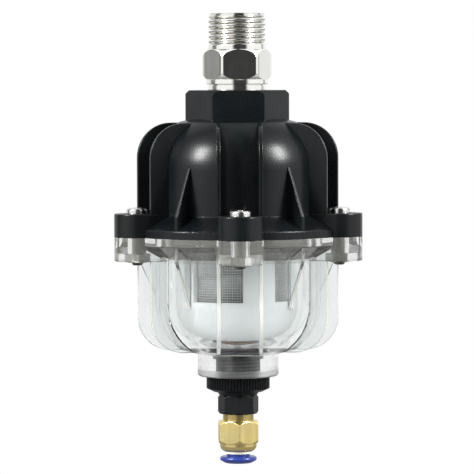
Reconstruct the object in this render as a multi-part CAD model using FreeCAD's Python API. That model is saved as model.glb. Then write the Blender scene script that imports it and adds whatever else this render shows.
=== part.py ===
import FreeCAD, Part
import math
import os

# Float-type condensate drain with strainer for a compressed air line.
# Millimetres, +Z up.  The part hangs from its inlet thread, so the origin is the
# centre of the nipple's shoulder, where the thread starts.  Every level below is
# measured from the parting plane between head and bowl, and save() shifts each
# solid by SHOULDER, the height of the nipple's shoulder above that plane.

SHOULDER = 67.0
FRONT = -90.0                   # the front lug points along -Y

# Casing: head and bowl share one outside shape, mirrored about the parting plane
LUGS = 5
LUG_STEP = 360.0 / LUGS
BODY_R = 30.0
WALL = 4.0
FLANGE_R = 38.7
RIM_H = 3.1                     # upright edge of the flange
CONE_H = 7.7                    # where the flange's slope meets the body
BEND_Z = 24.3                   # the body starts to curve in here
BEND_R = 20.0
BEND_DEG = 56.0                 # where the curve gives way to the nearly flat end
CROWN_Z = 42.6
RIB_GAP = 14.9                  # between the centre-lines of a lug's two ribs
RIB_T = 1.5
RIB_REACH = 35.5                # outer edge of a rib, along the lug's direction
RIB_TOP = 40.7                  # on the head; the bowl's ribs are a little longer
BOWL_RIB_TOP = 41.3
RIB_BEND = 12.5
GUSSET_T = 1.4
GUSSET_REACH = 38.2
GUSSET_KNEE = 8.0
GUSSET_TOP = 25.5
LUG_R = 8.3
LUG_H = 8.5
BOLT_CIRCLE_R = 37.9
CLEAR = 0.1                     # keeps separate bodies from sharing a face
RIB_ROUND = 0.35                # rounding of the ribs' outer edges
LUG_ROUND = 0.5
RIM_ROUND = 0.6
BOSS_ROUND = 0.6

# M4 fasteners
BOLT_R = 2.0
BOLT_HOLE_R = 2.2
BOLT_LENGTH = 18.0
HEAD_R = 4.0                    # M4 pan head
HEAD_H = 2.5
KEY_AF = 2.5
KEY_DEPTH = 1.5
NUT_AF = 7.0
HEAD_SINK = 0.5
NUT_H = 3.2
NUT_TOP = -5.8
NUT_POCKET_AF = 7.4
KEY_TURNS = (-17.5, 9.0, 22.0, -4.0, 14.0)      # degrees from square, lug by lug
NUT_TURN = -12.0

# Hex boss and G 1/2 inlet nipple
BOSS_AF = 32.5
BOSS_TOP = 52.3
BOSS_FACE_R = 17.4
THREAD_R = 10.4775              # G 1/2, 20.955 mm over the crests
INLET_THREAD_H = 12.9
THREAD_CHAMFER = 1.2
INLET_BORE_R = 7.5
NIPPLE_AF = 22.0
NIPPLE_TURN = 3.1               # degrees that the nipple stopped past square
NIPPLE_HEX_LOW = 56.4
COLLAR_R = 10.9
COLLAR_LOW = 54.4
GROOVE_R = 10.1
GROOVE_LOW = 53.9
NIPPLE_END = 40.0
SOCKET_R = 10.5
SOCKET_LOW = 38.7

# Spigot and seal between head and bowl
SPIGOT_R = 25.8
SPIGOT_BORE_R = 22.4
SPIGOT_END = -5.4
SEAL_Z = -2.9
SEAL_R = 1.0
SEAL_GROOVE_R = 23.8
LEDGE_R = 21.0
LEDGE_H = 3.0

# Strainer and float housing
STRAINER_R = 20.0
STRAINER_T = 1.8
FLANGE_T = 1.8
WINDOWS = 4
WINDOW_DEG = 56.0
WINDOW_FIRST = -113.8           # direction of the first window's middle
WINDOW_TOP = -8.4
WINDOW_LOW = -23.1
STRAINER_END = -26.5
MESH_T = 0.15
MESH_TOP = -7.0
MESH_LOW = -24.5
CUP_CORNER_R = 8.5
CUP_END = -37.3
CUP_T = 1.6
CUP_LIP_R = 18.05
CUP_LIP_T = 1.2
CUP_LIP_TOP = -24.6

# Float and its guide
GUIDE_R = 6.0
GUIDE_BORE_R = 4.6
GUIDE_TOP = -9.0
GUIDE_LOW = CUP_END + CUP_T
FLOAT_R = 15.0
FLOAT_BORE_R = 6.3
FLOAT_TOP = -14.5
FLOAT_CORNER_R = 4.5
FLOAT_LOW = -34.0

# Pilot valve on top of the guide
CAP_TOP = -7.4
NOZZLE_R = 1.2
NOZZLE_TOP = -6.9
ORIFICE_R = 0.5
PIVOT_X = 4.0
PIVOT_Z = -5.8
PIN_R = 0.8
PIN_LENGTH = 7.2
LEVER_W = 3.6
LEVER_LOW = -6.6
LEVER_TOP = -5.0
LEVER_TIP = -12.4
EAR_T = 1.2
PLUG_R = 1.3

# Discharge piston, its return spring and the drain valve
PISTON_R = 4.55
PISTON_TOP = -14.0
PISTON_LOW = -19.0
PISTON_SEAL_Z = -16.5
PISTON_SEAL_R = 0.55
STEM_R = 1.2
STEM_END = -43.6
SPRING_WIRE_R = 0.35
SPRING_MEAN_R = 3.3
SPRING_TURNS = 7.0
SPRING_STEPS = 16               # wire sections per turn
SPRING_SIDES = 8
SEAT_R = 9.2
SEAT_TOP = -40.4
SEAT_LOW = -44.0
SEAT_HOLE_R = 2.2
SEAT_FACE = -42.4
GASKET_R = 5.7
GASKET_H = 0.5
VALVE_R = 3.1
VALVE_H = 1.3

# Bottom of the bowl
FLOOR_MID = (15.5, -38.7)
WELL_R = 9.3
WELL_TOP = -39.6
OUTLET_R = 14.6
OUTLET_LOW = -50.7
OUTLET_ROUND = 1.2
DRAIN_BORE_R = 5.05

# Drain knob: M10 neck, knurled ring and octagon
NECK_R = 5.0
NECK_TOP = -44.1
KNOB_R = 11.4
KNOB_TOP = -50.8
KNOB_LOW = -56.3
KNURLS = 64
KNURL_DEPTH = 0.55
KNOB_CHAMFER = 1.2
DISC_R = 7.75
OCTAGON_AF = 13.5
OCTAGON_TOP = -57.6
OCTAGON_LOW = -64.3
OCTAGON_TURN = 1.9
PASSAGE_R = 3.6
NECK_PITCH = 1.25
NECK_ROOT_R = 4.3
NECK_RIDGES = 5
PORT_TOP = -57.8
PORT_R = 4.9
FACE_SEAL_MEAN_R = 8.2
FACE_SEAL_R = 0.85

# Push-in fitting for a 6 mm tube
FITTING_THREAD_R = 4.864        # G 1/8, 9.728 mm over the crests
FITTING_TOP = -58.4
FITTING_NECK_R = 5.52
FITTING_AF = 14.0
FITTING_TURN = 2.0
FITTING_HEX_TOP = -66.9
FITTING_HEX_LOW = -75.0
FITTING_COLLAR_R = 6.6
FITTING_COLLAR_LOW = -76.1
FITTING_END_R = 4.8
FITTING_LIP_TOP = -78.1
FITTING_END = -78.9
FITTING_PASSAGE_R = 2.2
TUBE_R = 3.05
TUBE_STOP = -68.0
TUBE_SOCKET_LOW = -71.5
CHAMBER_R = 4.6
MOUTH_R = 4.25
MOUTH_TOP = -77.2
TUBE_SEAL_R = 0.72
COLLET_TOP = -74.4
COLLET_R = 4.4
COLLET_LOW = -76.0
SLEEVE_R = 4.15
DISH_R = 6.65
DISH_TOP = -79.85
DISH_LOW = -82.2


def vec(r, z):
    return FreeCAD.Vector(r, 0, z)


def revolved(start, *steps):
    """Solid of revolution about Z.  A step is a point (r, z), reached by a straight
    line, or a pair of points (middle, end), reached by an arc."""
    edges = []
    here = start
    for step in steps + (start,):
        if isinstance(step[0], tuple):
            middle, end = step
            edges.append(Part.Arc(vec(*here), vec(*middle), vec(*end)).toShape())
        else:
            end = step
            edges.append(Part.LineSegment(vec(*here), vec(*end)).toShape())
        here = end
    face = Part.Face(Part.Wire(edges))
    return face.revolve(FreeCAD.Vector(0, 0, 0), FreeCAD.Vector(0, 0, 1), 360)


def disc(radius, low, high):
    return Part.makeCylinder(radius, high - low, FreeCAD.Vector(0, 0, low))


def ring(outer, inner, low, high):
    return disc(outer, low, high).cut(disc(inner, low - 1, high + 1))


def torus(mean_r, section_r, z):
    return Part.makeTorus(mean_r, section_r, FreeCAD.Vector(0, 0, z))


def turned(shape, degrees):
    copy = shape.copy()
    copy.rotate(FreeCAD.Vector(0, 0, 0), FreeCAD.Vector(0, 0, 1), degrees)
    return copy


def moved(shape, x, y, z):
    copy = shape.copy()
    copy.translate(FreeCAD.Vector(x, y, z))
    return copy


def mirrored(shape):
    return shape.mirror(FreeCAD.Vector(0, 0, 0), FreeCAD.Vector(0, 0, 1))


def prism(sides, across_flats, low, high, facing):
    """Regular prism with one flat facing the given direction, in degrees."""
    corner_r = across_flats / 2 / math.cos(math.pi / sides)
    corners = []
    for index in range(sides + 1):
        angle = math.radians(facing + (index + 0.5) * 360.0 / sides)
        corners.append(FreeCAD.Vector(corner_r * math.cos(angle), corner_r * math.sin(angle), low))
    return Part.Face(Part.makePolygon(corners)).extrude(FreeCAD.Vector(0, 0, high - low))


def chamfered_prism(sides, across_flats, low, high, facing, drop, ends=("low", "high")):
    """Prism whose corners are turned off by a cone at the named ends."""
    flat_r = across_flats / 2
    corner_r = flat_r / math.cos(math.pi / sides) + 0.01
    low_r = flat_r if "low" in ends else corner_r
    high_r = flat_r if "high" in ends else corner_r
    blank = revolved((0, low), (low_r, low), (corner_r, low + drop),
                     (corner_r, high - drop), (high_r, high), (0, high))
    return prism(sides, across_flats, low, high, facing).common(blank)


def plate(outline, thickness, offset):
    """Flat rib: an outline in the X-Z plane, given thickness about y = offset."""
    face = Part.Face(Part.Wire(outline))
    low = moved(face, 0, offset - thickness / 2, 0)
    return low.extrude(FreeCAD.Vector(0, thickness, 0))


def rounded(shape, radius, wanted):
    """Fillets the edges whose middle point passes the test."""
    edges = []
    for edge in shape.Edges:
        middle = edge.valueAt((edge.FirstParameter + edge.LastParameter) / 2)
        if wanted(edge, middle):
            edges.append(edge)
    return shape.makeFillet(radius, edges)


def is_upright(edge):
    ends = edge.Vertexes
    return len(ends) == 2 and math.hypot(ends[0].X - ends[1].X, ends[0].Y - ends[1].Y) < 0.001


def to_lug(shape, index):
    return turned(shape, FRONT + index * LUG_STEP)


def at_lugs(shape):
    return [to_lug(shape, index) for index in range(LUGS)]


def fused(shapes):
    whole = shapes[0].fuse(shapes[1:])
    return whole.removeSplitter()


def bend_point(radius, degrees):
    """Point on the curve that joins the body's wall to its sloping end."""
    angle = math.radians(degrees)
    return (BODY_R - BEND_R + radius * math.cos(angle), BEND_Z + radius * math.sin(angle))


def casing_body():
    """Round outside shape shared by head and bowl, from the parting plane up."""
    knee = RIM_ROUND * (1 - math.sqrt(0.5))
    return revolved((0, 0), (FLANGE_R, 0), (FLANGE_R, RIM_H - RIM_ROUND),
                    ((FLANGE_R - knee, RIM_H - knee), (FLANGE_R - RIM_ROUND, RIM_H)),
                    (BODY_R, CONE_H), (BODY_R, BEND_Z),
                    (bend_point(BEND_R, BEND_DEG / 2), bend_point(BEND_R, BEND_DEG)),
                    (OUTLET_R, CROWN_Z), (0, CROWN_Z))


def casing_ribs(top):
    """Two ribs beside each lug and a gusset midway between lugs."""
    return (at_lugs(rib(RIB_GAP / 2, top)) + at_lugs(rib(-RIB_GAP / 2, top))
            + at_lugs(turned(gusset(), LUG_STEP / 2)))


def rib(offset, top):
    """Upright rib beside a lug: straight outer edge, rounded into a flat top."""
    bend_x = RIB_REACH - RIB_BEND
    bend_z = top - RIB_BEND
    half = RIB_BEND * math.sqrt(0.5)
    corner = Part.Arc(vec(RIB_REACH, bend_z), vec(bend_x + half, bend_z + half), vec(bend_x, top))
    outline = [Part.makePolygon([vec(0, 0), vec(RIB_REACH, 0), vec(RIB_REACH, bend_z)]),
               corner.toShape(),
               Part.makePolygon([vec(bend_x, top), vec(0, top), vec(0, 0)])]
    whole = plate(outline, RIB_T, offset)
    return rounded(whole, RIB_ROUND, on_outer_edge)


def on_outer_edge(edge, middle):
    """The long edges of a rib that lie outside the body, not the short ones across it."""
    return edge.Length > 2 * RIB_T and middle.z > 1 and (middle.x > BODY_R or middle.z > RIB_TOP - 0.01)


def gusset():
    """Thin sloping rib midway between two lugs."""
    corners = [(0, 0), (GUSSET_REACH, 0), (GUSSET_REACH, GUSSET_KNEE), (BODY_R, GUSSET_TOP),
               (0, GUSSET_TOP), (0, 0)]
    whole = plate([Part.makePolygon([vec(*corner) for corner in corners])], GUSSET_T, 0)
    return rounded(whole, RIB_ROUND, lambda edge, middle: edge.Length > 2 * GUSSET_T
                   and middle.x > BODY_R and middle.z > 1)


def lug():
    """Round bolt lug with its web back to the body."""
    end = moved(disc(LUG_R, 0, LUG_H), BOLT_CIRCLE_R, 0, 0)
    web = Part.makeBox(BOLT_CIRCLE_R, 2 * LUG_R, LUG_H, FreeCAD.Vector(0, -LUG_R, 0))
    whole = end.fuse(web).removeSplitter()
    return rounded(whole, LUG_ROUND, lambda edge, middle: middle.z > LUG_H - 0.01 and middle.x > BODY_R - 3)


def inner_bend(degrees):
    return bend_point(BEND_R - WALL, degrees)


def bolt_hole():
    """Clearance hole for one bolt, with the shallow seat under its head."""
    hole = moved(disc(BOLT_HOLE_R, -1, LUG_H + 1), BOLT_CIRCLE_R, 0, 0)
    seat = moved(disc(4.5, LUG_H - HEAD_SINK, LUG_H + 4), BOLT_CIRCLE_R, 0, 0)
    return hole.fuse(seat)


def head_cover():
    """Black upper casing: dome, boss, spigot, ledge for the strainer and the seal groove."""
    boss = rounded(prism(6, BOSS_AF, CROWN_Z - 3, BOSS_TOP, FRONT), BOSS_ROUND,
                   lambda edge, middle: is_upright(edge))
    turned_off = revolved((0, CROWN_Z - 4), (BOSS_FACE_R + 3, CROWN_Z - 4), (BOSS_FACE_R + 3, BOSS_TOP - 3),
                          (BOSS_FACE_R, BOSS_TOP), (0, BOSS_TOP))
    solid = fused([casing_body(), boss.common(turned_off), disc(SPIGOT_R, SPIGOT_END, 0)])
    ceiling = inner_bend(BEND_DEG)[1]
    neck_r = INLET_BORE_R + 1.5
    cavity = revolved((0, SPIGOT_END - 1), (SPIGOT_BORE_R, SPIGOT_END - 1), (SPIGOT_BORE_R, 0),
                      (LEDGE_R, 0), (LEDGE_R, LEDGE_H), (BODY_R - WALL, LEDGE_H),
                      (BODY_R - WALL, BEND_Z), (inner_bend(BEND_DEG / 2), inner_bend(BEND_DEG)),
                      (neck_r, ceiling), (neck_r, SOCKET_LOW),
                      (SOCKET_R, SOCKET_LOW), (SOCKET_R, BOSS_TOP + 1), (0, BOSS_TOP + 1))
    groove = ring(SPIGOT_R + 1, SEAL_GROOVE_R, SEAL_Z - SEAL_R - 0.1, SEAL_Z + SEAL_R + 0.1)
    return solid.cut([cavity, groove] + at_lugs(bolt_hole()))


def head_lugs():
    """The head's five bolt lugs, moulded on to its flange."""
    whole = lug().cut([casing_body(), bolt_hole()])
    return Part.makeCompound(at_lugs(whole))


def head_ribs():
    """The head's ribs and gussets, moulded on to its dome, flange and lugs."""
    body = casing_body()
    lugs = at_lugs(lug())
    return Part.makeCompound([piece.cut([body] + lugs) for piece in casing_ribs(RIB_TOP)])


def bowl():
    """Clear lower casing: the head's outside upside down, with the outlet boss."""
    edge = OUTLET_R - OUTLET_ROUND
    knee = OUTLET_ROUND * (1 - math.sqrt(0.5))
    outlet = revolved((0, -CROWN_Z), (OUTLET_R, -CROWN_Z),
                      (OUTLET_R, OUTLET_LOW + OUTLET_ROUND),
                      ((OUTLET_R - knee, OUTLET_LOW + knee), (edge, OUTLET_LOW)), (0, OUTLET_LOW))
    outside = fused([casing_body()] + casing_ribs(BOWL_RIB_TOP) + at_lugs(lug()))
    solid = fused([mirrored(outside), outlet])

    def below(point):
        return (point[0], -point[1])

    cavity = revolved((0, 1), (BODY_R - WALL, 1), (BODY_R - WALL, -BEND_Z),
                      (below(inner_bend(BEND_DEG / 2)), below(inner_bend(BEND_DEG))),
                      FLOOR_MID, (WELL_R, WELL_TOP), (WELL_R, SEAT_LOW),
                      (DRAIN_BORE_R, SEAT_LOW), (DRAIN_BORE_R, OUTLET_LOW - 1), (0, OUTLET_LOW - 1))
    hole = moved(disc(BOLT_HOLE_R, -LUG_H - 1, 1), BOLT_CIRCLE_R, 0, 0)
    pocket = moved(prism(6, NUT_POCKET_AF, -LUG_H - 1, NUT_TOP, NUT_TURN), BOLT_CIRCLE_R, 0, 0)
    return solid.cut([cavity] + at_lugs(hole.fuse(pocket)))


def inlet_nipple():
    """Double-ended nipple: inlet thread, hexagon, and the thread held in the boss."""
    top = SHOULDER + INLET_THREAD_H
    spindle = revolved((INLET_BORE_R, NIPPLE_END), (THREAD_R - 1, NIPPLE_END),
                       (THREAD_R, NIPPLE_END + 1), (THREAD_R, GROOVE_LOW), (GROOVE_R, GROOVE_LOW),
                       (GROOVE_R, COLLAR_LOW), (COLLAR_R, COLLAR_LOW), (COLLAR_R, NIPPLE_HEX_LOW),
                       (THREAD_R, NIPPLE_HEX_LOW), (THREAD_R, top - THREAD_CHAMFER),
                       (THREAD_R - THREAD_CHAMFER, top), (INLET_BORE_R, top))
    flats = chamfered_prism(6, NIPPLE_AF, NIPPLE_HEX_LOW, SHOULDER, FRONT + NIPPLE_TURN, 2.0)
    hollow = flats.cut(disc(INLET_BORE_R, NIPPLE_HEX_LOW - 1, SHOULDER + 1))
    return fused([spindle, hollow])


def bolts():
    """Five M4 pan-head bolts, each hexagon socket stopped at its own angle."""
    seat = LUG_H - HEAD_SINK
    shank = revolved((0, seat + 0.5), (BOLT_R, seat + 0.5), (BOLT_R, seat - BOLT_LENGTH + 0.5),
                     (BOLT_R - 0.5, seat - BOLT_LENGTH), (0, seat - BOLT_LENGTH))
    top = seat + HEAD_H
    head = revolved((0, seat), (HEAD_R, seat), (HEAD_R, top - 0.9),
                    ((HEAD_R - 0.25, top - 0.3), (HEAD_R - 0.9, top)), (0, top))
    placed = []
    for index, degrees in enumerate(KEY_TURNS):
        key = prism(6, KEY_AF, top - KEY_DEPTH, top + 1, degrees)
        placed.append(to_lug(moved(head.fuse(shank).cut(key), BOLT_CIRCLE_R, 0, 0), index))
    return Part.makeCompound(placed)


def nuts():
    low = NUT_TOP - NUT_H
    body = chamfered_prism(6, NUT_AF, low, NUT_TOP, NUT_TURN, 0.35)
    nut = body.cut(disc(BOLT_R + 0.02, low - 1, NUT_TOP + 1))
    return Part.makeCompound(at_lugs(moved(nut, BOLT_CIRCLE_R, 0, 0)))


def strainer_frame():
    """White basket: flange, four tall windows and a bottom ring."""
    inner = STRAINER_R - STRAINER_T
    top = -CLEAR / 2
    solid = ring(STRAINER_R, inner, STRAINER_END, top)
    flange = ring(SPIGOT_BORE_R - CLEAR, inner, top - FLANGE_T, top)
    window = Part.makeCylinder(STRAINER_R + 1, WINDOW_TOP - WINDOW_LOW,
                               FreeCAD.Vector(0, 0, WINDOW_LOW), FreeCAD.Vector(0, 0, 1), WINDOW_DEG)
    cuts = [turned(window, WINDOW_FIRST - WINDOW_DEG / 2 + index * 360.0 / WINDOWS)
            for index in range(WINDOWS)]
    return fused([solid, flange]).cut(cuts)


def strainer_mesh():
    """Stainless gauze sleeve, drawn here as a plain thin tube."""
    outer = STRAINER_R - STRAINER_T - 0.02
    return ring(outer, outer - MESH_T, MESH_LOW, MESH_TOP)


def float_housing():
    """White cup with a rounded bottom, clipped to the strainer, open to the bowl below."""
    centre_r = STRAINER_R - CUP_CORNER_R
    centre_z = CUP_END + CUP_CORNER_R
    half = math.sqrt(0.5)
    inner_r = CUP_CORNER_R - CUP_T
    cup = revolved((STRAINER_R - CUP_T, STRAINER_END), (STRAINER_R, STRAINER_END),
                   (STRAINER_R, centre_z),
                   ((centre_r + CUP_CORNER_R * half, centre_z - CUP_CORNER_R * half), (centre_r, CUP_END)),
                   (STEM_R + 0.4, CUP_END), (STEM_R + 0.4, CUP_END + CUP_T), (centre_r, CUP_END + CUP_T),
                   ((centre_r + inner_r * half, centre_z - inner_r * half), (centre_r + inner_r, centre_z)))
    lip = ring(CUP_LIP_R, CUP_LIP_R - CUP_LIP_T, STRAINER_END, CUP_LIP_TOP)
    seam = ring(STRAINER_R - CUP_T + 0.2, CUP_LIP_R - CUP_LIP_T, STRAINER_END - 1.2, STRAINER_END)
    drain = moved(disc(1.5, CUP_END - 1, CUP_END + CUP_T + 1), 9.0, 0, 0)
    drains = [turned(drain, index * 60.0) for index in range(6)]
    return fused([cup, lip, seam]).cut(drains)


def guide_tube():
    """Centre tube: the float slides outside it and the piston inside."""
    tube = ring(GUIDE_R, GUIDE_BORE_R, GUIDE_LOW, GUIDE_TOP)
    vent = Part.makeCylinder(0.8, 2 * GUIDE_R, FreeCAD.Vector(-GUIDE_R, 0, GUIDE_LOW + 2.5),
                             FreeCAD.Vector(1, 0, 0))
    return tube.cut([vent, turned(vent, 90)])


def float_body():
    """Annular float with a rounded bottom edge."""
    centre_r = FLOAT_R - FLOAT_CORNER_R
    centre_z = FLOAT_LOW + FLOAT_CORNER_R
    half = FLOAT_CORNER_R * math.sqrt(0.5)
    return revolved((FLOAT_BORE_R, FLOAT_LOW), (centre_r, FLOAT_LOW),
                    ((centre_r + half, centre_z - half), (FLOAT_R, centre_z)),
                    (FLOAT_R, FLOAT_TOP - 1), (FLOAT_R - 1, FLOAT_TOP), (FLOAT_BORE_R, FLOAT_TOP))


def pilot_cap():
    """Plug in the top of the guide, with the pilot nozzle and the lever's two ears."""
    plug = disc(GUIDE_BORE_R - 0.02, GUIDE_TOP - 2, GUIDE_TOP)
    plate_top = disc(GUIDE_R - 0.05, GUIDE_TOP, CAP_TOP)
    nozzle = disc(NOZZLE_R, CAP_TOP, NOZZLE_TOP)
    ears = []
    for side in (-1, 1):
        inner = side * (LEVER_W / 2 + 0.2)
        low_y = min(inner, inner + side * EAR_T)
        block = Part.makeBox(2.4, EAR_T, PIVOT_Z - CAP_TOP, FreeCAD.Vector(PIVOT_X - 1.2, low_y, CAP_TOP))
        eye = Part.makeCylinder(1.2, EAR_T, FreeCAD.Vector(PIVOT_X, low_y, PIVOT_Z),
                                FreeCAD.Vector(0, 1, 0))
        ears.append(block.fuse(eye))
    solid = fused([plug, plate_top, nozzle] + ears)
    return solid.cut([disc(ORIFICE_R, GUIDE_TOP - 3, NOZZLE_TOP + 1), pin_hole(PIN_R + 0.01)])


def pin_hole(radius):
    return Part.makeCylinder(radius, 20, FreeCAD.Vector(PIVOT_X, -10, PIVOT_Z), FreeCAD.Vector(0, 1, 0))


def lever_pin():
    return Part.makeCylinder(PIN_R, PIN_LENGTH, FreeCAD.Vector(PIVOT_X, -PIN_LENGTH / 2, PIVOT_Z),
                             FreeCAD.Vector(0, 1, 0))


def float_lever():
    """Arm over the pilot nozzle, with a foot that stands just above the float."""
    thick = LEVER_TOP - LEVER_LOW
    arm = Part.makeBox(PIVOT_X - LEVER_TIP, LEVER_W, thick,
                       FreeCAD.Vector(LEVER_TIP, -LEVER_W / 2, LEVER_LOW))
    eye = Part.makeCylinder(1.3, LEVER_W, FreeCAD.Vector(PIVOT_X, -LEVER_W / 2, PIVOT_Z),
                            FreeCAD.Vector(0, 1, 0))
    foot_low = FLOAT_TOP + 0.3
    foot = Part.makeBox(1.5, LEVER_W, LEVER_LOW - foot_low,
                        FreeCAD.Vector(LEVER_TIP, -LEVER_W / 2, foot_low))
    solid = fused([arm, eye, foot])
    return solid.cut([pin_hole(PIN_R + 0.05), disc(PLUG_R, LEVER_LOW - 1, LEVER_TOP - 0.6)])


def pilot_plug():
    return disc(PLUG_R - 0.02, NOZZLE_TOP + 0.02, LEVER_TOP - 0.6)


def piston():
    """Piston with a seal groove and the long stem that carries the drain valve."""
    head = revolved((0, PISTON_TOP), (PISTON_R - 0.4, PISTON_TOP), (PISTON_R, PISTON_TOP - 0.4),
                    (PISTON_R, PISTON_LOW), (0, PISTON_LOW))
    groove = ring(PISTON_R + 1, PISTON_R - 2 * PISTON_SEAL_R - 0.02,
                  PISTON_SEAL_Z - 0.65, PISTON_SEAL_Z + 0.65)
    stem = disc(STEM_R, STEM_END, PISTON_LOW)
    return fused([head.cut(groove), stem])


def piston_spring():
    """Return spring under the piston: many-sided wire, lofted along a helix."""
    low = GUIDE_LOW + SPRING_WIRE_R + 0.05
    rise = PISTON_LOW - SPRING_WIRE_R - 0.05 - low
    sections = []
    for step in range(int(SPRING_TURNS * SPRING_STEPS) + 1):
        angle = 2 * math.pi * step / SPRING_STEPS
        out = FreeCAD.Vector(math.cos(angle), math.sin(angle), 0)
        along = FreeCAD.Vector(-out.y, out.x, rise / (2 * math.pi * SPRING_TURNS * SPRING_MEAN_R))
        across = along.normalize().cross(out)
        height = low + rise * step / (SPRING_STEPS * SPRING_TURNS)
        centre = out * SPRING_MEAN_R + FreeCAD.Vector(0, 0, height)
        points = []
        for side in range(SPRING_SIDES + 1):
            turn = 2 * math.pi * side / SPRING_SIDES
            points.append(centre + (out * math.cos(turn) + across * math.sin(turn)) * SPRING_WIRE_R)
        sections.append(Part.makePolygon(points))
    return Part.makeLoft(sections, True, True)


def valve_seat():
    """Black seat in the bowl's well: bowl water enters above, the valve closes from below."""
    solid = disc(SEAT_R, SEAT_LOW, SEAT_TOP)
    hole = disc(SEAT_HOLE_R, SEAT_LOW - 1, SEAT_TOP + 1)
    recess = disc(PASSAGE_R, SEAT_LOW - 1, SEAT_FACE)
    return solid.cut([hole, recess])


def seat_gasket():
    """Thin amber ring round the hole in the valve seat."""
    return ring(GASKET_R, SEAT_HOLE_R + 1.6, SEAT_TOP, SEAT_TOP + GASKET_H)


def drain_valve():
    """Rubber disc on the end of the stem."""
    top = SEAT_FACE - 0.02
    return revolved((STEM_R, top), (VALVE_R, top), (VALVE_R, top - VALVE_H + 0.3),
                    (VALVE_R - 0.3, top - VALVE_H), (STEM_R, top - VALVE_H))


def drain_knob():
    """Knurled ring and octagon on a threaded neck, bored through."""
    outline = [(NECK_ROOT_R, NECK_TOP)]
    for index in range(NECK_RIDGES):
        level = NECK_TOP - 0.2 - index * NECK_PITCH
        outline += [(NECK_ROOT_R, level), (NECK_R, level - 0.4 * NECK_PITCH),
                    (NECK_R, level - 0.6 * NECK_PITCH)]
    neck = revolved((0, NECK_TOP), *outline, (NECK_ROOT_R, KNOB_TOP + 0.2), (NECK_ROOT_R, KNOB_TOP),
                    (0, KNOB_TOP))
    corners = []
    for index in range(4 * KNURLS + 1):
        angle = math.pi * index / KNURLS / 2
        radius = KNOB_R - (KNURL_DEPTH if index % 4 > 1 else 0)
        corners.append(FreeCAD.Vector(radius * math.cos(angle), radius * math.sin(angle), KNOB_LOW))
    grip = Part.Face(Part.makePolygon(corners)).extrude(FreeCAD.Vector(0, 0, KNOB_TOP - KNOB_LOW))
    blank = revolved((0, KNOB_LOW), (KNOB_R - 2 * KNOB_CHAMFER, KNOB_LOW),
                     (KNOB_R, KNOB_LOW + KNOB_CHAMFER), (KNOB_R, KNOB_TOP), (0, KNOB_TOP))
    waist = revolved((0, KNOB_LOW), (DISC_R, KNOB_LOW), (OCTAGON_AF / 2, OCTAGON_TOP), (0, OCTAGON_TOP))
    octagon = chamfered_prism(8, OCTAGON_AF, OCTAGON_LOW, OCTAGON_TOP,
                              FRONT + OCTAGON_TURN + 22.5, 0.8)
    solid = fused([neck, grip.common(blank), waist, octagon])
    groove = ring(FACE_SEAL_MEAN_R + FACE_SEAL_R + 0.1, FACE_SEAL_MEAN_R - FACE_SEAL_R - 0.1,
                  KNOB_TOP - 2 * FACE_SEAL_R, KNOB_TOP + 0.5)
    return solid.cut([disc(PASSAGE_R, PORT_TOP - 1, NECK_TOP + 1),
                      disc(PORT_R, OCTAGON_LOW - 1, PORT_TOP), groove])


def fitting_body():
    """Brass push-in fitting: thread, neck, hexagon, and the stepped bore for the tube."""
    spindle = revolved((0, FITTING_TOP), (FITTING_THREAD_R - 0.7, FITTING_TOP),
                       (FITTING_THREAD_R, FITTING_TOP - 0.7), (FITTING_THREAD_R, OCTAGON_LOW - CLEAR),
                       (FITTING_NECK_R, OCTAGON_LOW - CLEAR), (FITTING_NECK_R, FITTING_HEX_TOP),
                       (FITTING_COLLAR_R, FITTING_HEX_TOP), (FITTING_COLLAR_R, FITTING_COLLAR_LOW),
                       ((FITTING_COLLAR_R - 0.5, FITTING_COLLAR_LOW - 1.15),
                        (FITTING_END_R, FITTING_LIP_TOP)),
                       (FITTING_END_R - 0.1, FITTING_END + 0.2), (FITTING_END_R - 0.3, FITTING_END),
                       (0, FITTING_END))
    flats = chamfered_prism(6, FITTING_AF, FITTING_HEX_LOW, FITTING_HEX_TOP,
                            FRONT + FITTING_TURN + 30.0, 1.3)
    bore = revolved((0, FITTING_TOP + 1), (FITTING_PASSAGE_R, FITTING_TOP + 1),
                    (FITTING_PASSAGE_R, TUBE_STOP), (TUBE_R, TUBE_STOP), (TUBE_R, TUBE_SOCKET_LOW),
                    (CHAMBER_R, TUBE_SOCKET_LOW), (CHAMBER_R, MOUTH_TOP), (MOUTH_R, MOUTH_TOP),
                    (MOUTH_R, FITTING_END - 1), (0, FITTING_END - 1))
    return fused([spindle, flats]).cut(bore)


def collet():
    """Steel grip ring whose slit teeth bite on the tube."""
    band = revolved((TUBE_R + 0.05, COLLET_TOP), (COLLET_R, COLLET_TOP), (COLLET_R, COLLET_TOP - 0.6),
                    (TUBE_R + 0.35, COLLET_LOW), (TUBE_R + 0.05, COLLET_LOW))
    slit = Part.makeBox(10, 0.5, 1.4, FreeCAD.Vector(-5, -0.25, COLLET_LOW - 0.2))
    return band.cut([turned(slit, index * 45.0) for index in range(4)])


def release_collar():
    """Blue collar: sleeve into the fitting and a dished disc to push on."""
    return revolved((TUBE_R + 0.05, COLLET_LOW - 0.02), (SLEEVE_R, COLLET_LOW - 0.02), (SLEEVE_R, DISH_TOP),
                    (DISH_R - 0.9, DISH_TOP),
                    ((DISH_R, DISH_TOP - 0.9), (DISH_R - 0.5, DISH_TOP - 1.6)),
                    (SLEEVE_R + 0.6, DISH_LOW), (TUBE_R + 0.4, DISH_LOW), (TUBE_R + 0.05, DISH_LOW + 0.4))


def save(node, shape):
    copy = moved(shape, 0, 0, -SHOULDER)
    copy.exportStep("parts/" + node + ".step")
    print(node, "solids", len(copy.Solids), "valid", copy.isValid(), "mm3", round(copy.Volume, 1))


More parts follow.
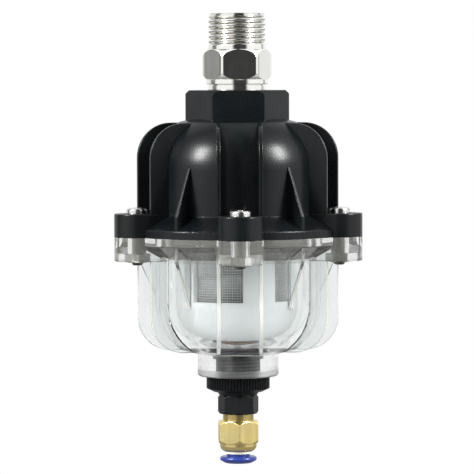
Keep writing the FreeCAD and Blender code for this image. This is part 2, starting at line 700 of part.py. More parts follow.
os.makedirs("parts", exist_ok=True)
save("inlet_nipple", inlet_nipple())
save("head_cover", head_cover())
save("head_lugs", head_lugs())
save("head_ribs", head_ribs())
save("casing_seal", torus(SPIGOT_R - SEAL_R + 0.12, SEAL_R, SEAL_Z))
save("bowl", bowl())
save("casing_bolts", bolts())
save("casing_nuts", nuts())
save("strainer_frame", strainer_frame())
save("strainer_mesh", strainer_mesh())
save("float_housing", float_housing())
save("guide_tube", guide_tube())
save("float", float_body())
save("pilot_cap", pilot_cap())
save("lever_pin", lever_pin())
save("float_lever", float_lever())
save("pilot_plug", pilot_plug())
save("piston", piston())
save("piston_seal", torus(PISTON_R - PISTON_SEAL_R, PISTON_SEAL_R, PISTON_SEAL_Z))
save("piston_spring", piston_spring())
save("valve_seat", valve_seat())
save("seat_gasket", seat_gasket())
save("drain_valve", drain_valve())
save("knob_seal", torus(FACE_SEAL_MEAN_R, FACE_SEAL_R, KNOB_TOP - FACE_SEAL_R + 0.05))
save("drain_knob", drain_knob())
save("fitting_body", fitting_body())
save("tube_seal", torus(TUBE_R + TUBE_SEAL_R + 0.06, TUBE_SEAL_R, TUBE_SOCKET_LOW - TUBE_SEAL_R - 0.02))
save("tube_collet", collet())
save("release_collar", release_collar())
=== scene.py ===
import math

import bpy
from mathutils import Matrix, Vector


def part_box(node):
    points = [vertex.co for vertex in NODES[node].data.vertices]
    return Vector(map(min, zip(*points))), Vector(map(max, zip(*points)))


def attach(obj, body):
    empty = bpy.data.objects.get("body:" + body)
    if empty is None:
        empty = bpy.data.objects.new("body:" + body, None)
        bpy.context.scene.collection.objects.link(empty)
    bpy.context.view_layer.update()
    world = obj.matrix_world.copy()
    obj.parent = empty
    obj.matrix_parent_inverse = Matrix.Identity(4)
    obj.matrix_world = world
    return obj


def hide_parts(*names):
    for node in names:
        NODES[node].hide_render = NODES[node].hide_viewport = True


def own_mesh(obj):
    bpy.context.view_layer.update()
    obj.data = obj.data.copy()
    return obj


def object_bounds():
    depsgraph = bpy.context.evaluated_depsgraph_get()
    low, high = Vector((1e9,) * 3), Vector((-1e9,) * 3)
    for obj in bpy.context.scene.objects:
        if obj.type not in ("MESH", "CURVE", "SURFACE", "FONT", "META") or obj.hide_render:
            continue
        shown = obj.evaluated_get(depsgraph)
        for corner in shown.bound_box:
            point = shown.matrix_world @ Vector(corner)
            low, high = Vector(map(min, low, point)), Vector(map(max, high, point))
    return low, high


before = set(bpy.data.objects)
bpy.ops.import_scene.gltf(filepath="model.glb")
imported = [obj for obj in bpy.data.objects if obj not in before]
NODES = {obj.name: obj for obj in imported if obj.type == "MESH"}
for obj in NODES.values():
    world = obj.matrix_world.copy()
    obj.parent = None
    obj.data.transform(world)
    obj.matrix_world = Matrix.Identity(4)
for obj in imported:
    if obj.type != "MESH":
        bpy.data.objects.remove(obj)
cad_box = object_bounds()

MM = 0.001
PARTING_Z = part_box("bowl")[1].z      # plane between head and bowl

# Camera: a long lens from a little above, turned slightly to the object's left
CAMERA_DISTANCE = 1260 * MM
CAMERA_TURN = -1.3                   # degrees
CAMERA_ROLL = -0.18                  # degrees
CAMERA_LEFT = 0.25 * MM
EYE_RISE = 60 * MM                   # above the parting plane
AIM_DROP = 0.6 * MM                  # below the parting plane
FRAME_WIDTH = 170.64 * MM            # what the frame takes in at the object's axis
SENSOR_WIDTH = 36.0

# Inlet nipple
THREAD_R = 10.4775 * MM
PITCH = 1.814 * MM                   # G 1/2, 14 turns to the inch
THREAD_DEPTH = 1.0 * MM
THREAD_SHARPNESS = 1.8
THREAD_END_DROP = 0.85 * MM          # chamfer on a thread's free end
THREAD_END_SLOPE = 0.5
THREAD_COLUMNS = 144
ROWS_PER_PITCH = 14
UPPER_RUNOUT = (0.9 * MM, 2.4 * MM)  # from the hexagon: where the thread starts and where it is full
LOWER_RUNOUT = (1.4 * MM, 2.6 * MM)
BORE_R = 7.5 * MM
GROOVE_RISE = 53.9 * MM              # above the parting plane
HEXAGON_RISE = 56.0 * MM
COLLAR_R = 11.15 * MM
HEXAGON_FLAT_R = 11.0 * MM
HEXAGON_CORNER_ROUND = 1.3 * MM
HEXAGON_FACING = -86.9               # degrees
LOW_CURVE = (10.9 * MM, 12.52 * MM, 2.4 * MM)
HIGH_CURVE = (10.9 * MM, 12.52 * MM, 3.05 * MM)
CURVE_STEPS = 8
CURVE_CONE = 0.6                     # share of a corner's curve that is a plain cone
SUPPORT_INSET = 0.06 * MM            # rings close to both edges keep the flats flat in shading

# Strainer gauze
GAUZE_WIRE_R = 0.145 * MM
GAUZE_PITCH = 0.9 * MM
GAUZE_GAP = 0.1 * MM                 # inside the sleeve's outer face
GAUZE_SIDES = 5

# Return spring
SPRING_WIRE_R = 0.35 * MM
SPRING_TURNS = 7
SPRING_STEPS = 32                    # to a turn
SPRING_SIDES = 10
SPRING_SLIMMING = 0.98

# Studio
FLOOR_DROP = 0.12                    # metres below the object
FLOOR_HALF = 1.4
FLOOR_IN_MIRRORS = 0.3
AMBIENT = 1.4
SOFTBOX_DISTANCE = 1.6
SOFTBOX_SIZE = (0.38, 0.62)
SOFTBOX_ELEVATION = 29.0
SOFTBOXES = (("softbox_left", -58.0, 62.0), ("softbox_right", 64.0, 56.0))    # azimuth, radiance

# Level of the surroundings by azimuth, for rays that mirror and for rays that come through the bowl
MIRROR_STOPS = ((-180, 0.95), (-120, 0.8), (-113, 0.22), (-94, 0.2), (-88, 0.95), (-22, 0.95), (-13, 0.04),
                (33, 0.04), (42, 0.95), (108, 0.95), (113, 0.5), (124, 0.5), (129, 0.95), (180, 0.95))
THROUGH_STOPS = ((-180, 0.97), (-90, 0.95), (-40, 0.9), (-14, 0.12), (20, 0.12), (45, 0.9), (90, 0.95),
                 (180, 0.97))


# ---------------------------------------------------------------- camera
def make_camera():
    azimuth = math.radians(CAMERA_TURN)
    data = bpy.data.cameras.new("camera")
    camera = bpy.data.objects.new("camera", data)
    bpy.context.scene.collection.objects.link(camera)
    data.sensor_width = SENSOR_WIDTH
    data.lens = SENSOR_WIDTH * CAMERA_DISTANCE / FRAME_WIDTH
    data.clip_start = 0.1
    data.clip_end = 30.0
    camera.location = (CAMERA_DISTANCE * math.sin(azimuth) - CAMERA_LEFT,
                       -CAMERA_DISTANCE * math.cos(azimuth), PARTING_Z + EYE_RISE)
    aim = Vector((-CAMERA_LEFT, 0.0, PARTING_Z - AIM_DROP))
    view = (aim - camera.location).to_track_quat("-Z", "Y")
    roll = Matrix.Rotation(math.radians(CAMERA_ROLL), 3, "Z")
    camera.rotation_euler = (view.to_matrix() @ roll).to_euler()
    bpy.context.scene.camera = camera


# ---------------------------------------------------------------- node helpers
class Nodes:
    """Builds a node tree. A value passed in is a number or colour, or another node's output socket."""

    def __init__(self, tree):
        self.tree = tree

    def add(self, kind, **settings):
        node = self.tree.nodes.new(kind)
        for key, value in settings.items():
            setattr(node, key, value)
        return node

    def link(self, source, target):
        self.tree.links.new(source, target)

    def feed(self, target, value):
        """Sets an input to a number or colour, or links an output to it."""
        if isinstance(value, (int, float)):
            target.default_value = value
        elif isinstance(value, tuple):
            target.default_value = (*value, 1.0)
        else:
            self.link(value, target)

    def parts(self, vector):
        node = self.add("ShaderNodeSeparateXYZ")
        self.link(vector, node.inputs[0])
        return node.outputs

    def span(self, value, low, high, to_low=0.0, to_high=1.0):
        """Maps low..high onto to_low..to_high, and stays at the ends beyond them."""
        node = self.add("ShaderNodeMapRange")
        for key, number in zip(("From Min", "From Max", "To Min", "To Max"), (low, high, to_low, to_high)):
            node.inputs[key].default_value = number
        self.link(value, node.inputs["Value"])
        return node.outputs["Result"]

    def zone(self, value, start, full, share=1.0):
        """0 up to start, rising to the share at full; start and full are in mm."""
        return self.span(value, start * MM, full * MM, 0.0, share)

    def maths(self, operation, first, second=None):
        node = self.add("ShaderNodeMath", operation=operation)
        self.feed(node.inputs[0], first)
        if second is not None:
            self.feed(node.inputs[1], second)
        return node.outputs[0]

    def times(self, first, second):
        return self.maths("MULTIPLY", first, second)

    def blend(self, factor, first, second, kind="MIX"):
        node = self.add("ShaderNodeMix", data_type="RGBA", blend_type=kind)
        self.feed(node.inputs["Factor"], factor)
        self.feed(node.inputs["A"], first)
        self.feed(node.inputs["B"], second)
        return node.outputs["Result"]

    def mirrored(self, path):
        """1 for a ray that has come off a mirroring surface; one that has passed through counts as 0."""
        return self.maths("SUBTRACT", path.outputs["Is Glossy Ray"], path.outputs["Is Transmission Ray"])


class Shader(Nodes):
    """One material on a Principled shader."""

    def __init__(self, name):
        self.material = bpy.data.materials.new(name)
        self.material.use_nodes = True
        super().__init__(self.material.node_tree)
        self.surface = self.tree.nodes["Principled BSDF"]
        self.output = self.tree.nodes["Material Output"]
        self.place = self.add("ShaderNodeTexCoord").outputs["Object"]

    def put(self, **values):
        """Sets the Principled shader's own inputs."""
        for key, value in values.items():
            self.surface.inputs[key.replace("_", " ")].default_value = value

    def scaled(self, x, y, z):
        node = self.add("ShaderNodeMapping")
        node.inputs["Scale"].default_value = (x, y, z)
        self.link(self.place, node.inputs["Vector"])
        return node.outputs["Vector"]

    def noise(self, vector, scale, detail=3.0, rough=0.5):
        node = self.add("ShaderNodeTexNoise")
        node.inputs["Scale"].default_value = scale
        node.inputs["Detail"].default_value = detail
        node.inputs["Roughness"].default_value = rough
        self.link(vector, node.inputs["Vector"])
        return node.outputs["Fac"]

    def worn_edge(self, radius):
        """Normal that rounds every edge over the given radius."""
        node = self.add("ShaderNodeBevel", samples=6)
        node.inputs["Radius"].default_value = radius
        return node.outputs["Normal"]

    def bump(self, height, distance, strength, under=None):
        """Relief on the surface, on top of another normal if one is given."""
        node = self.add("ShaderNodeBump")
        node.inputs["Distance"].default_value = distance
        node.inputs["Strength"].default_value = strength
        self.link(height, node.inputs["Height"])
        if under is not None:
            self.link(under, node.inputs["Normal"])
        self.link(node.outputs["Normal"], self.surface.inputs["Normal"])
        return node.outputs["Normal"]

    def height(self):
        """Height above the parting plane."""
        return self.maths("SUBTRACT", self.parts(self.place)[2], PARTING_Z)

    def radius(self):
        """Distance from the object's axis."""
        x, y, z = self.parts(self.place)
        return self.maths("SQRT", self.maths("ADD", self.times(x, x), self.times(y, y)))

    def true_normal(self):
        return self.parts(self.add("ShaderNodeNewGeometry").outputs["True Normal"])

    def coat(self, kind, colour, rough=None):
        """A second shader, to be laid over the first."""
        node = self.add(kind)
        self.feed(node.inputs["Color"], colour)
        if rough is not None:
            node.inputs["Roughness"].default_value = rough
        return node

    def layer(self, factor, under, over):
        """Mixes one shader over another, shows the result, and returns it for a further layer."""
        node = self.add("ShaderNodeMixShader")
        self.link(factor, node.inputs["Fac"])
        self.link(under.outputs[0], node.inputs[1])
        self.link(over.outputs[0], node.inputs[2])
        self.link(node.outputs[0], self.output.inputs["Surface"])
        return node

    def colour(self, socket):
        self.link(socket, self.surface.inputs["Base Color"])

    def tint(self, factor, colour):
        """Multiplies the base colour by another where the factor is 1."""
        present = self.surface.inputs["Base Color"].links[0].from_socket
        self.colour(self.blend(factor, present, colour, "MULTIPLY"))

    def roughness(self, socket):
        self.link(socket, self.surface.inputs["Roughness"])


# ---------------------------------------------------------------- materials
def black_nylon():
    """Glass-filled nylon: satin, with a fine mottle; a painted sheen under the flange, over the bowl's air
    space.
    """
    s = Shader("black_nylon")
    fine = s.noise(s.place, 2600.0, 4.0, 0.6)
    broad = s.noise(s.place, 90.0, 3.0)
    s.colour(s.blend(s.span(broad, 0.35, 0.7), (0.0024, 0.0034, 0.0040), (0.0042, 0.0052, 0.0058)))
    s.roughness(s.span(fine, 0.3, 0.7, 0.24, 0.33))
    s.bump(fine, 0.00003, 0.3, s.bump(broad, 0.0002, 0.12, s.worn_edge(0.3 * MM)))
    s.put(IOR=1.5, Specular_IOR_Level=0.24)
    height = s.height()
    # painted sheen: a bright mirror layer laid on the flange's underside, at grazing angles
    underside = s.times(s.zone(height, 0.06, 0.03), s.zone(height, -0.06, -0.03))
    slant = s.add("ShaderNodeLayerWeight")
    slant.inputs["Blend"].default_value = 0.5
    painted_sheen = s.times(underside, s.span(slant.outputs["Facing"], 0.18, 0.28))
    s.layer(painted_sheen, s.surface, s.coat("ShaderNodeBsdfGlossy", (0.9, 0.9, 0.88), 0.08))
    return s.material


def rubber():
    """Matt black seal rubber."""
    s = Shader("rubber")
    fine = s.noise(s.place, 1800.0, 4.0)
    s.colour(s.blend(fine, (0.008, 0.008, 0.009), (0.018, 0.018, 0.019)))
    s.roughness(s.span(fine, 0.3, 0.7, 0.5, 0.7))
    s.bump(fine, 0.00005, 0.3)
    return s.material


def clear_plastic():
    """Polycarbonate with painted light on its rib edges and at its rim, a frosted foot, and the drain
    thread drawn dark in its bore as painted shade.
    """
    s = Shader("clear_polycarbonate")
    s.put(Base_Color=(0.915, 0.938, 0.935, 1.0), Transmission_Weight=1.0, IOR=1.585)
    waves = s.noise(s.scaled(1.0, 1.0, 0.45), 55.0, 2.0)
    specks = s.noise(s.place, 700.0, 2.0)
    grain = s.noise(s.place, 3000.0, 3.0)
    x, y, z = s.parts(s.place)
    radius = s.radius()
    height = s.height()

    foot = s.times(s.zone(height, -47.9, -48.2), s.zone(radius, 11.5, 12.0))
    plain = s.span(specks, 0.4, 0.75, 0.01, 0.04)
    s.roughness(s.maths("MAXIMUM", plain, s.times(foot, 0.42)))
    s.bump(waves, 0.0006, 0.08, s.bump(grain, 0.00002, 0.2))

    thread_pitch = 1.25 * MM
    turned = s.maths("DIVIDE", s.maths("ARCTAN2", y, x), 2 * math.pi)
    turns = s.maths("SUBTRACT", s.maths("DIVIDE", height, thread_pitch), turned)
    ridge = s.maths("ABSOLUTE", s.maths("SUBTRACT", s.times(s.maths("FRACT", turns), 2.0), 1.0))
    # painted shade: the drain thread drawn as dark opaque bands in the bore, lighter towards one flank
    thread = s.add("ShaderNodeBsdfPrincipled")
    thread.inputs["Roughness"].default_value = 0.4
    shade = s.blend(s.span(ridge, 0.3, 0.9), (0.010, 0.011, 0.012), (0.07, 0.073, 0.075))
    s.link(shade, thread.inputs["Base Color"])
    bore = s.times(s.zone(radius, 5.35, 5.25), s.zone(height, -43.6, -43.9))
    covered = s.layer(bore, s.surface, thread)

    # painted light: a pale diffuse layer on the outward faces of the rib edges, faint over the whole bowl
    # and stronger at the rim
    normal = s.true_normal()
    outward = s.maths("DIVIDE", s.maths("ADD", s.times(normal[0], x), s.times(normal[1], y)), radius)
    rib_radius = s.times(s.zone(radius, 30.2, 30.6), s.zone(radius, 37.2, 36.8))
    rib_edge = s.times(s.span(outward, 0.35, 0.7), s.times(rib_radius, s.zone(height, -4.4, -4.8)))
    rim = s.span(height, -9.1 * MM, -8.7 * MM, 0.02, 0.12)
    pale = s.coat("ShaderNodeBsdfDiffuse", (0.47, 0.465, 0.43))
    s.layer(s.maths("MAXIMUM", s.times(rib_edge, 0.5), rim), covered, pale)
    return s.material


def white_plastic():
    """Opaque white moulding, faintly translucent at its edges."""
    s = Shader("white_plastic")
    fine = s.noise(s.place, 1500.0, 3.0)
    broad = s.noise(s.place, 60.0, 2.0)
    s.colour(s.blend(broad, (0.88, 0.905, 0.91), (0.93, 0.945, 0.945)))
    s.roughness(s.span(fine, 0.3, 0.7, 0.36, 0.48))
    s.bump(fine, 0.00003, 0.3)
    s.put(Subsurface_Weight=0.25, Subsurface_Radius=(1.0, 0.95, 0.9), Subsurface_Scale=0.0015)
    return s.material


def dark_plastic(name, dark, light):
    """Satin plastic or rubber between two tones."""
    s = Shader(name)
    fine = s.noise(s.place, 1400.0, 4.0)
    s.colour(s.blend(fine, dark, light))
    s.roughness(s.span(fine, 0.3, 0.7, 0.4, 0.55))
    s.bump(fine, 0.00005, 0.4)
    return s.material


def float_foam():
    """Dark foam under a pale upper half."""
    s = Shader("float_foam")
    fine = s.noise(s.place, 1400.0, 3.0)
    s.colour(s.blend(fine, (0.020, 0.021, 0.024), (0.040, 0.042, 0.046)))
    s.roughness(s.span(fine, 0.3, 0.7, 0.45, 0.6))
    s.bump(fine, 0.00003, 0.3)
    upper = s.coat("ShaderNodeBsdfDiffuse", (0.74, 0.75, 0.75))
    s.layer(s.zone(s.height(), -22.0, -13.0), s.surface, upper)
    return s.material


def blue_plastic():
    """Acetal: deep blue, waxy and faintly translucent."""
    s = Shader("blue_acetal")
    fine = s.noise(s.place, 1700.0, 3.0)
    broad = s.noise(s.place, 160.0, 2.0)
    s.colour(s.blend(broad, (0.008, 0.019, 0.125), (0.012, 0.031, 0.19)))
    s.roughness(s.span(fine, 0.3, 0.7, 0.22, 0.34))
    s.bump(fine, 0.00003, 0.3)
    s.put(Subsurface_Weight=0.1, Subsurface_Radius=(0.2, 0.4, 1.0), Subsurface_Scale=0.0008)
    return s.material


def metal(name, dark, light, rough, lines=(1.0, 1.0, 1.0), scale=900.0):
    """Metal with tool marks: noise stretched along the marks, in gloss and relief, and faint stains."""
    spread = 0.05
    s = Shader(name)
    marks = s.noise(s.scaled(*lines), scale, 4.0, 0.65)
    stains = s.noise(s.place, 120.0, 3.0)
    s.colour(s.blend(s.span(stains, 0.3, 0.7), dark, light))
    s.roughness(s.span(marks, 0.3, 0.7, rough - spread, rough + spread))
    s.bump(marks, 0.00001, 0.3, s.worn_edge(0.25 * MM))
    s.put(Metallic=1.0)
    return s


def zinc_steel(name, below):
    """Bright above the parting plane; painted shade below it, where it is seen through the bowl's lugs."""
    s = metal(name, (0.74, 0.74, 0.72), (0.86, 0.86, 0.84), 0.16)
    # painted shade: the colour is multiplied by the darker one below the parting plane
    s.tint(s.zone(s.height(), 0.5, -0.5), below)
    return s.material


def gauze_wire():
    """Stainless wire under a layer of painted light that thickens towards the top of the sleeve."""
    s = metal("gauze_wire", (0.62, 0.62, 0.61), (0.78, 0.78, 0.77), 0.32)
    # painted light: a pale diffuse layer rising towards the top of the sleeve
    pale = s.coat("ShaderNodeBsdfDiffuse", (0.88, 0.89, 0.88))
    s.layer(s.zone(s.height(), -24.0, -11.0, 0.95), s.surface, pale)
    return s.material


def brass():
    """Turned brass: painted shade on the neck, painted light on the rolled lip round the tube's mouth."""
    s = metal("brass", (1.0, 0.77, 0.29), (1.0, 0.84, 0.38), 0.24, (1.0, 1.0, 0.15), 600.0)
    height = s.height()
    # painted shade on the neck
    s.tint(s.zone(height, -67.2, -66.7), (0.64, 0.61, 0.55))
    # painted light: a pale diffuse layer on the rolled lip
    lip = s.coat("ShaderNodeBsdfDiffuse", (0.80, 0.79, 0.72))
    s.layer(s.zone(height, -78.0, -78.2, 0.75), s.surface, lip)
    return s.material


def nickel():
    """Bright nickel plating: painted shade in the roots of the thread, satin on the hexagon's turned
    cones.
    """
    hexagon_middle = 61.5 * MM
    s = Shader("nickel")
    marks = s.noise(s.scaled(1.0, 1.0, 0.12), 700.0, 4.0, 0.6)
    radius = s.radius()
    # painted shade: darker and warmer towards the roots of the thread
    s.colour(s.blend(s.zone(radius, 9.3, 10.3), (0.62, 0.605, 0.53), (0.95, 0.945, 0.91)))
    s.roughness(s.span(marks, 0.3, 0.7, 0.08, 0.16))
    s.bump(marks, 0.000006, 0.3)
    s.put(Metallic=1.0)
    slant = s.maths("ABSOLUTE", s.true_normal()[2])
    from_middle = s.maths("ABSOLUTE", s.maths("SUBTRACT", s.height(), hexagon_middle))
    cones = s.times(s.span(slant, 0.15, 0.3), s.zone(from_middle, 6.2, 6.0))
    cones = s.times(cones, s.zone(radius, 11.1, 11.5))
    satin = s.coat("ShaderNodeBsdfDiffuse", (0.62, 0.62, 0.59))
    s.layer(s.times(cones, 0.45), s.surface, satin)
    return s.material


# ---------------------------------------------------------------- mesh helpers
def new_piece(name, points, faces, material, sharp_deg=30.0):
    mesh = bpy.data.meshes.new(name)
    mesh.from_pydata(points, [], faces)
    mesh.validate()
    mesh.polygons.foreach_set("use_smooth", [True] * len(mesh.polygons))
    mesh.set_sharp_from_angle(angle=math.radians(sharp_deg))
    mesh.materials.append(material)
    piece = bpy.data.objects.new(name, mesh)
    bpy.context.scene.collection.objects.link(piece)
    return piece


def polar(radius, angle, z):
    return Vector((radius * math.cos(angle), radius * math.sin(angle), z))


def round_ring(radius, z, columns=THREAD_COLUMNS):
    return [polar(radius, 2 * math.pi * column / columns, z) for column in range(columns)]


def smooth(low, high, value):
    """0 below low, 1 above high, and a smooth rise between them."""
    t = min(max((value - low) / (high - low), 0.0), 1.0)
    return t * t * (3 - 2 * t)


class Shells:
    """Collects closed shells: a loop of rings, or a capped tube."""

    def __init__(self):
        self.points = []
        self.faces = []

    def add(self, rings, closed=True):
        start = len(self.points)
        count = len(rings[0])
        for ring in rings:
            self.points.extend(ring)
        turns = len(rings) if closed else len(rings) - 1
        for row in range(turns):
            here = start + row * count
            there = start + ((row + 1) % len(rings)) * count
            for column in range(count):
                after = (column + 1) % count
                self.faces.append((here + column, here + after, there + after, there + column))

    def add_tube(self, path, radius, sides, closed=False):
        """A round wire along a path of points, capped where it is open."""
        rings = []
        for index, point in enumerate(path):
            before = path[index - 1] if closed or index else point
            after = path[(index + 1) % len(path)] if closed or index + 1 < len(path) else point
            along = (after - before).normalized()
            out = Vector((point.x, point.y, 0.0))
            out = (out - along * out.dot(along)).normalized()
            side = along.cross(out)
            rings.append([point + (out * math.cos(a) + side * math.sin(a)) * radius
                          for a in (2 * math.pi * k / sides for k in range(sides))])
        start = len(self.points)
        self.add(rings, closed)
        if not closed:
            last = start + (len(rings) - 1) * sides
            self.faces.append(tuple(reversed(range(start, start + sides))))
            self.faces.append(tuple(range(last, last + sides)))

    def piece(self, name, material, sharp_deg):
        return new_piece(name, self.points, self.faces, material, sharp_deg)


# ---------------------------------------------------------------- inlet nipple
def thread_radius(angle, z, end, root, runout):
    """Radius of the helical thread, plain near the hexagon and chamfered at its free end."""
    turn = (z / PITCH - angle / (2 * math.pi)) % 1.0
    flank = abs(2 * turn - 1)
    cut = (1.0 - flank) ** THREAD_SHARPNESS
    cut *= smooth(*runout, abs(z - root))
    radius = THREAD_R - THREAD_DEPTH * cut
    return min(radius, THREAD_R - THREAD_END_DROP + abs(end - z) * THREAD_END_SLOPE)


def threaded_rings(low, high, end, root, runout):
    """Rings of one threaded length. end is the free end, root the end at the hexagon."""
    rows = int(round((high - low) / PITCH * ROWS_PER_PITCH))
    rings = []
    for row in range(rows + 1):
        z = low + (high - low) * row / rows
        ring = []
        for column in range(THREAD_COLUMNS):
            angle = 2 * math.pi * column / THREAD_COLUMNS
            ring.append(polar(thread_radius(angle, z, end, root, runout), angle, z))
        rings.append(ring)
    return rings


def rounded_polygon(sides, flat_r, corner_round, facing):
    """(angle, radius) pairs round a polygon with rounded corners."""
    steps = 5
    half = math.pi / sides
    centre_r = (flat_r - corner_round) / math.cos(half)
    reach = math.atan2(centre_r * math.sin(half), flat_r)       # where a flat ends, from its middle
    pairs = []
    for side in range(sides):
        middle = math.radians(facing) + side * 2 * half
        for step in range(-steps, steps + 1):
            angle = reach * step / steps
            pairs.append((middle + angle, flat_r / math.cos(angle)))
        for step in range(1, steps):
            turn = reach + (2 * half - 2 * reach) * step / steps
            off = turn - half
            outer = math.sqrt(corner_round ** 2 - (centre_r * math.sin(off)) ** 2)
            pairs.append((middle + turn, centre_r * math.cos(off) + outer))
    return pairs


def hexagon_rings(low, high):
    """Hexagon whose corners are turned off by a cone, rounded into the corner, at both ends.

    A curve is (radius at the face, radius reached, height of the curve).
    """
    columns = rounded_polygon(6, HEXAGON_FLAT_R, HEXAGON_CORNER_ROUND, HEXAGON_FACING)

    def ring(share, curve, end, sign):
        face_r, full_r, tall = curve
        points = []
        for angle, radius in columns:
            r = face_r + (radius - face_r) * share
            out = (r - face_r) / (full_r - face_r)
            drop = CURVE_CONE * out + (1 - CURVE_CONE) * out ** 10
            points.append(polar(r, angle, end + sign * tall * drop))
        return points

    shares = [math.sin(math.pi / 2 * step / CURVE_STEPS) for step in range(CURVE_STEPS + 1)]
    low_end = [ring(share, LOW_CURVE, low, 1.0) for share in shares]
    high_end = [ring(share, HIGH_CURVE, high, -1.0) for share in reversed(shares)]
    inset = Vector((0.0, 0.0, SUPPORT_INSET))
    return ([[polar(BORE_R, angle, low) for angle, radius in columns]] + low_end
            + [[point + inset for point in low_end[-1]], [point - inset for point in high_end[0]]]
            + high_end + [[polar(BORE_R, angle, high) for angle, radius in columns]])


def make_nipple(material):
    """Upper thread above z = 0, hexagon below it, then the collar and the thread held in the boss."""
    low, high = (corner.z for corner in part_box("inlet_nipple"))
    groove_z = PARTING_Z + GROOVE_RISE
    groove_r = THREAD_R - 0.4 * MM
    collar_z = groove_z + 0.5 * MM
    hex_low = PARTING_Z + HEXAGON_RISE
    edge = 0.3 * MM
    round_off = 0.2 * MM
    shells = Shells()
    upper = threaded_rings(0.0, high, high, 0.0, UPPER_RUNOUT)
    shells.add([round_ring(BORE_R, 0.0)] + upper
               + [round_ring(THREAD_R - 1.2 * MM, high), round_ring(BORE_R + edge, high),
                  round_ring(BORE_R, high - edge)])
    lower = threaded_rings(low, groove_z, low, groove_z, LOWER_RUNOUT)
    collar = [(groove_r, groove_z), (groove_r, collar_z), (COLLAR_R - round_off, collar_z),
              (COLLAR_R, collar_z + round_off), (COLLAR_R, hex_low), (COLLAR_R - edge, hex_low + edge),
              (BORE_R, hex_low + edge)]
    shells.add([round_ring(BORE_R, low)] + lower + [round_ring(radius, z) for radius, z in collar])
    shells.add(hexagon_rings(hex_low, 0.0))
    piece = shells.piece("inlet_nipple_threaded", material, 35.0)
    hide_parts("inlet_nipple")
    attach(piece, "casing")


# ---------------------------------------------------------------- strainer gauze
def make_gauze(material):
    """Plain-weave wire cloth rolled into a sleeve: every wire passes over and under."""
    low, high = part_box("strainer_mesh")
    sleeve_r = high.x - GAUZE_GAP
    uprights = 2 * int(math.pi * sleeve_r / GAUZE_PITCH)
    hoops = int((high.z - low.z) / GAUZE_PITCH)
    swing = GAUZE_WIRE_R * 0.8

    def level(share):
        return low.z + GAUZE_WIRE_R + (high.z - low.z - 2 * GAUZE_WIRE_R) * share

    def woven(step, wire, sign):
        """Radius of a wire at a step: it swings out or in at every second one, at its crossings."""
        sway = sign * swing * math.cos(math.pi * (step / 2 + wire)) if step % 2 == 0 else 0.0
        return sleeve_r - GAUZE_WIRE_R - swing + sway

    shells = Shells()
    for upright in range(uprights):
        angle = 2 * math.pi * upright / uprights
        path = [polar(woven(step, upright, 1.0), angle, level(step / (2 * hoops)))
                for step in range(2 * hoops + 1)]
        shells.add_tube(path, GAUZE_WIRE_R, GAUZE_SIDES)
    for hoop in range(hoops + 1):
        path = [polar(woven(step, hoop, -1.0), math.pi * step / uprights, level(hoop / hoops))
                for step in range(2 * uprights)]
        shells.add_tube(path, GAUZE_WIRE_R, GAUZE_SIDES, closed=True)
    piece = shells.piece("strainer_gauze", material, 80.0)
    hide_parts("strainer_mesh")
    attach(piece, "casing")


# ---------------------------------------------------------------- return spring
def make_spring(material):
    """Round wire wound under the piston."""
    low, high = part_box("piston_spring")
    mean_r = high.x - SPRING_WIRE_R
    rise = high.z - low.z - 2 * SPRING_WIRE_R
    count = SPRING_TURNS * SPRING_STEPS
    path = [polar(mean_r, 2 * math.pi * step / SPRING_STEPS, low.z + SPRING_WIRE_R + rise * step / count)
            for step in range(count + 1)]
    shells = Shells()
    shells.add_tube(path, SPRING_WIRE_R * SPRING_SLIMMING, SPRING_SIDES)
    piece = shells.piece("return_spring", material, 60.0)
    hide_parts("piston_spring")
    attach(piece, "casing")
    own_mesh(piece)


# ---------------------------------------------------------------- studio
def make_world():
    """White to the camera; sides, back and a dark front for rays that mirror or pass through the bowl."""
    world = bpy.data.worlds.new("studio")
    world.use_nodes = True
    bpy.context.scene.world = world
    w = Nodes(world.node_tree)
    w.tree.nodes.clear()
    x, y, z = w.parts(w.add("ShaderNodeTexCoord").outputs["Generated"])
    turn = w.span(w.maths("ARCTAN2", x, w.times(y, -1.0)), -math.pi, math.pi)

    def ramp(stops):
        node = w.add("ShaderNodeValToRGB")
        node.color_ramp.interpolation = "LINEAR"
        elements = node.color_ramp.elements
        while len(elements) > 1:
            elements.remove(elements[-1])
        for index, (degrees, level) in enumerate(stops):
            place_on = (degrees + 180.0) / 360.0
            element = elements[0] if index == 0 else elements.new(place_on)
            element.position = place_on
            element.color = (level, level, level, 1.0)
        w.link(turn, node.inputs["Fac"])
        return node.outputs["Color"]

    path = w.add("ShaderNodeLightPath")
    around = w.blend(w.mirrored(path), ramp(THROUGH_STOPS), ramp(MIRROR_STOPS))
    inside = w.maths("MINIMUM", path.outputs["Diffuse Depth"], 1.0)
    lit = w.blend(inside, around, (AMBIENT, AMBIENT, AMBIENT))
    seen = w.blend(path.outputs["Is Camera Ray"], lit, (1.0, 1.0, 1.0))
    background = w.add("ShaderNodeBackground")
    w.link(seen, background.inputs["Color"])
    w.link(background.outputs[0], w.add("ShaderNodeOutputWorld").inputs["Surface"])


def softbox(name, azimuth_deg, radiance):
    """Area light aimed at the middle of the object; azimuth is measured from the front."""
    data = bpy.data.lights.new(name, "AREA")
    data.shape = "RECTANGLE"
    data.size, data.size_y = SOFTBOX_SIZE
    data.energy = radiance * math.pi * data.size * data.size_y
    light = bpy.data.objects.new(name, data)
    bpy.context.scene.collection.objects.link(light)
    azimuth, elevation = math.radians(azimuth_deg), math.radians(SOFTBOX_ELEVATION)
    out = Vector((math.sin(azimuth) * math.cos(elevation), -math.cos(azimuth) * math.cos(elevation),
                  math.sin(elevation)))
    light.location = Vector((0.0, 0.0, PARTING_Z)) + out * SOFTBOX_DISTANCE
    light.rotation_euler = (-out).to_track_quat("-Z", "Y").to_euler()
    light.visible_camera = False


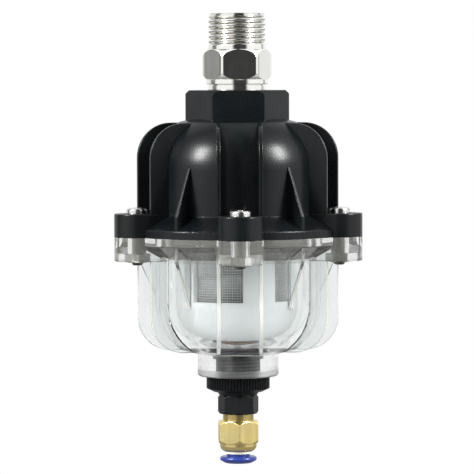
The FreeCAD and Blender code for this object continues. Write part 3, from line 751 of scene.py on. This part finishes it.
def make_floor():
    """Pale floor well below the hanging part; dimmer where it is mirrored."""
    z = cad_box[0].z - FLOOR_DROP
    shader = Shader("floor")
    shader.tree.nodes.remove(shader.surface)
    mirrored = shader.mirrored(shader.add("ShaderNodeLightPath"))
    glow = shader.add("ShaderNodeEmission")
    shader.link(shader.span(mirrored, 0.0, 1.0, 1.0, FLOOR_IN_MIRRORS), glow.inputs["Strength"])
    shader.link(glow.outputs[0], shader.output.inputs["Surface"])
    corners = [(x * FLOOR_HALF, y * FLOOR_HALF, z) for x, y in ((-1, -1), (1, -1), (1, 1), (-1, 1))]
    floor = new_piece("floor", corners, [(0, 1, 2, 3)], shader.material)


def make_studio():
    make_world()
    make_floor()
    for settings in SOFTBOXES:
        softbox(*settings)
    scene = bpy.context.scene
    scene.view_settings.view_transform = "Standard"
    scene.cycles.max_bounces = 24
    scene.cycles.transmission_bounces = 20
    scene.cycles.glossy_bounces = 8


# ---------------------------------------------------------------- the object
def paint(material, *names):
    for name in names:
        mesh = NODES[name].data
        mesh.materials.clear()
        mesh.materials.append(material)


def make_object():
    stainless = metal("stainless", (0.55, 0.55, 0.54), (0.66, 0.66, 0.65), 0.28).material
    paint(black_nylon(), "head_cover", "head_lugs", "head_ribs", "valve_seat", "drain_knob")
    paint(dark_plastic("amber_rubber", (0.50, 0.20, 0.03), (0.62, 0.27, 0.05)), "seat_gasket")
    paint(clear_plastic(), "bowl")
    paint(rubber(), "casing_seal", "knob_seal", "tube_seal", "piston_seal", "pilot_plug", "drain_valve")
    # second colour: painted shade on the bolts and nuts below the parting plane
    paint(zinc_steel("zinc_bolt", (0.15, 0.14, 0.12)), "casing_bolts")
    paint(zinc_steel("zinc_nut", (0.46, 0.45, 0.42)), "casing_nuts")
    paint(white_plastic(), "strainer_frame", "float_housing")
    paint(dark_plastic("dark_acetal", (0.02, 0.02, 0.022), (0.035, 0.035, 0.038)),
          "guide_tube", "pilot_cap", "piston")
    paint(float_foam(), "float")
    paint(stainless, "lever_pin", "float_lever", "tube_collet")
    paint(brass(), "fitting_body")
    paint(blue_plastic(), "release_collar")
    make_nipple(nickel())
    make_gauze(gauze_wire())
    make_spring(stainless)


make_camera()
make_studio()
make_object()
